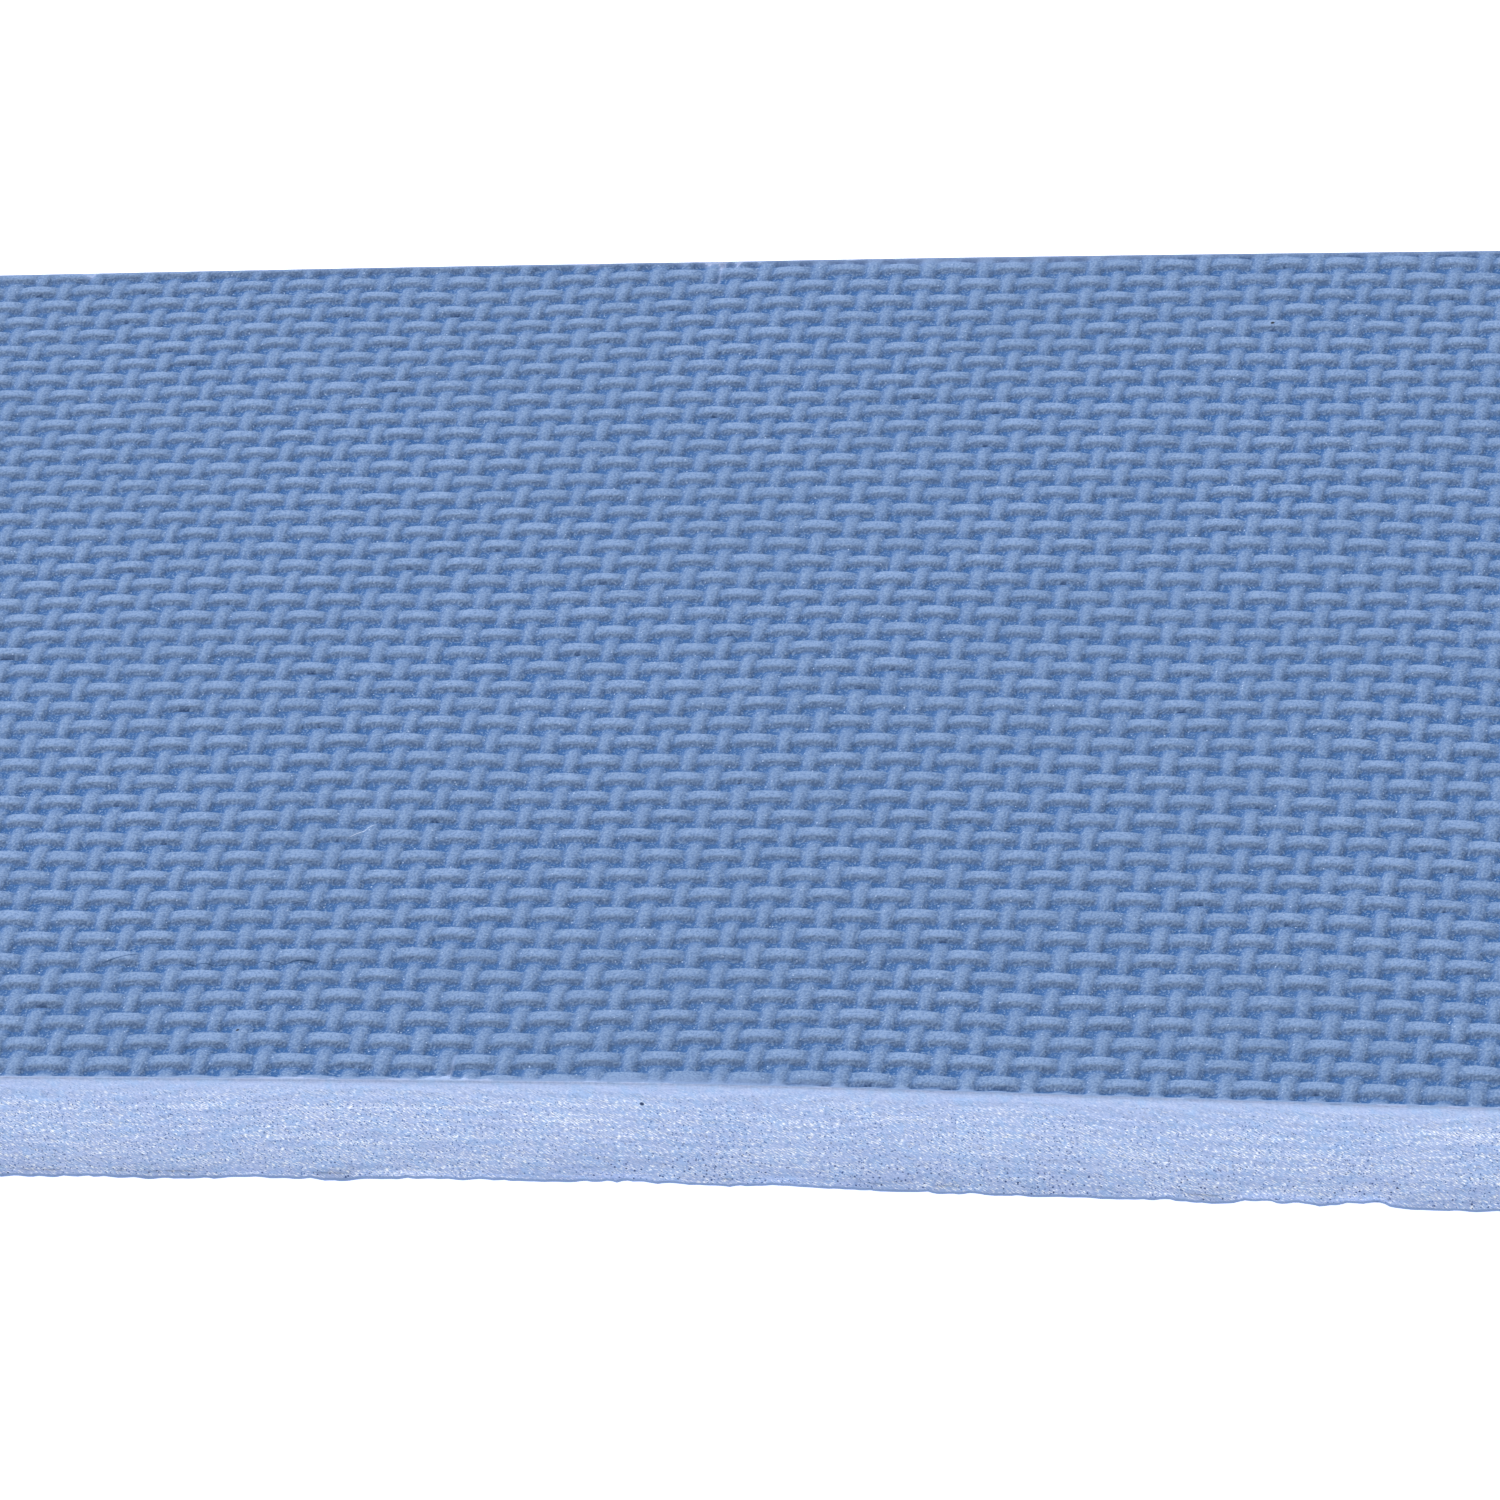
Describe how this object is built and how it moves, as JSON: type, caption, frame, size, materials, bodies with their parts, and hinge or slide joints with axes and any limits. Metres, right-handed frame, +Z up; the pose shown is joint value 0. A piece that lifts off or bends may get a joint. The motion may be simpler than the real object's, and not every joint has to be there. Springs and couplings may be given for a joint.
{
  "type": "balance pad",
  "caption": "Flat rectangular closed-cell foam pad with a heat-pressed plain-weave grip pattern on both faces and raw knife-cut edges.",
  "frame": {"origin": "middle of the pad's underside, on the floor", "axes": "+X along the pad's length, +Y along its depth from front to back, +Z up through its thickness"},
  "size_m": [0.4, 0.24, 0.02],
  "materials": {
    "embossed_skin": "closed foam skin with a pressed plain-weave relief, soft satin sheen",
    "cut_core": "knife-cut closed-cell foam, matt, with fine open pores"
  },
  "bodies": {
    "root": {"top_skin": "embossed_skin", "foam_core": "cut_core", "base_skin": "embossed_skin"}
  },
  "joints": []
}
